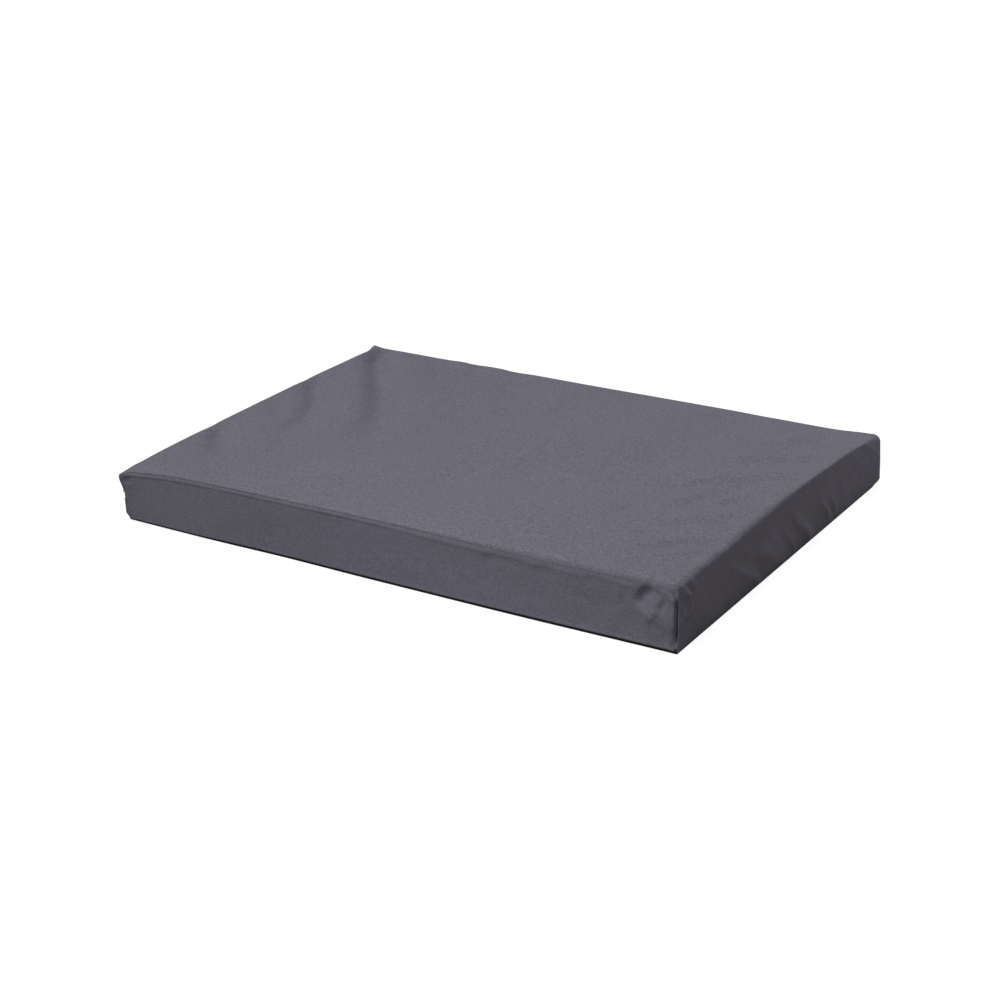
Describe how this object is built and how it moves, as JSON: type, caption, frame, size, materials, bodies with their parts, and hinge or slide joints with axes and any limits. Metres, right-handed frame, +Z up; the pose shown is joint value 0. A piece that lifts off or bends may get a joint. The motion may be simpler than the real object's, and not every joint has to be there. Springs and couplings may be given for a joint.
{
  "type": "pressure relief mattress",
  "caption": "Small rectangular foam mattress in a grey coated cloth cover with sewn side panels, a dark non-slip base and a zip across one short end.",
  "frame": {"origin": "centre of the underside's rectangle, on the face it rests on", "axes": "+X along the length, away from the zip end; +Y across the width; +Z up, towards the lying surface"},
  "size_m": [1.0059, 0.75, 0.1],
  "materials": {
    "cover_cloth": "fine woven, coated, low sheen",
    "base_cloth": "matte non-slip coated cloth",
    "zip_tape": "woven tape",
    "zip_coil": "satin nylon",
    "zip_metal": "dark enamelled zinc, worn at the edges",
    "liner_cloth": "thin knitted cloth",
    "base_foam": "open-cell foam",
    "visco_foam": "fine-cell slow-recovery foam",
    "adhesive": "dried sprayed adhesive"
  },
  "bodies": {
    "mattress": {"cover_wrap_panel": "cover_cloth", "cover_front_panel": "cover_cloth", "cover_back_panel": "cover_cloth", "cover_zip_strip": "cover_cloth", "zip_end_tab_front": "cover_cloth", "zip_end_tab_back": "cover_cloth", "cover_base_panel": "base_cloth", "zip_tape_upper": "zip_tape", "zip_tape_lower": "zip_tape", "zip_coil_upper": "zip_coil", "zip_coil_lower": "zip_coil", "zip_bottom_stop": "zip_metal", "zip_top_stop_upper": "zip_metal", "zip_top_stop_lower": "zip_metal", "inner_liner": "liner_cloth", "foam_base_layer": "base_foam", "foam_visco_layer": "visco_foam", "adhesive_film": "adhesive"},
    "slider": {"zip_slider": "zip_metal"},
    "pull_tab": {"zip_pull_tab": "zip_metal"}
  },
  "joints": [
    {"name": "zip_slide", "type": "slide", "parent": "mattress", "child": "slider", "axis": [0, -1, 0], "range_m": [0, 0.676]},
    {"name": "pull_tab_pivot", "type": "hinge", "parent": "slider", "child": "pull_tab", "pos_m": [-0.5037, 0.338, 0.046], "axis": [0, 0, -1], "range_deg": [0, 178]}
  ]
}
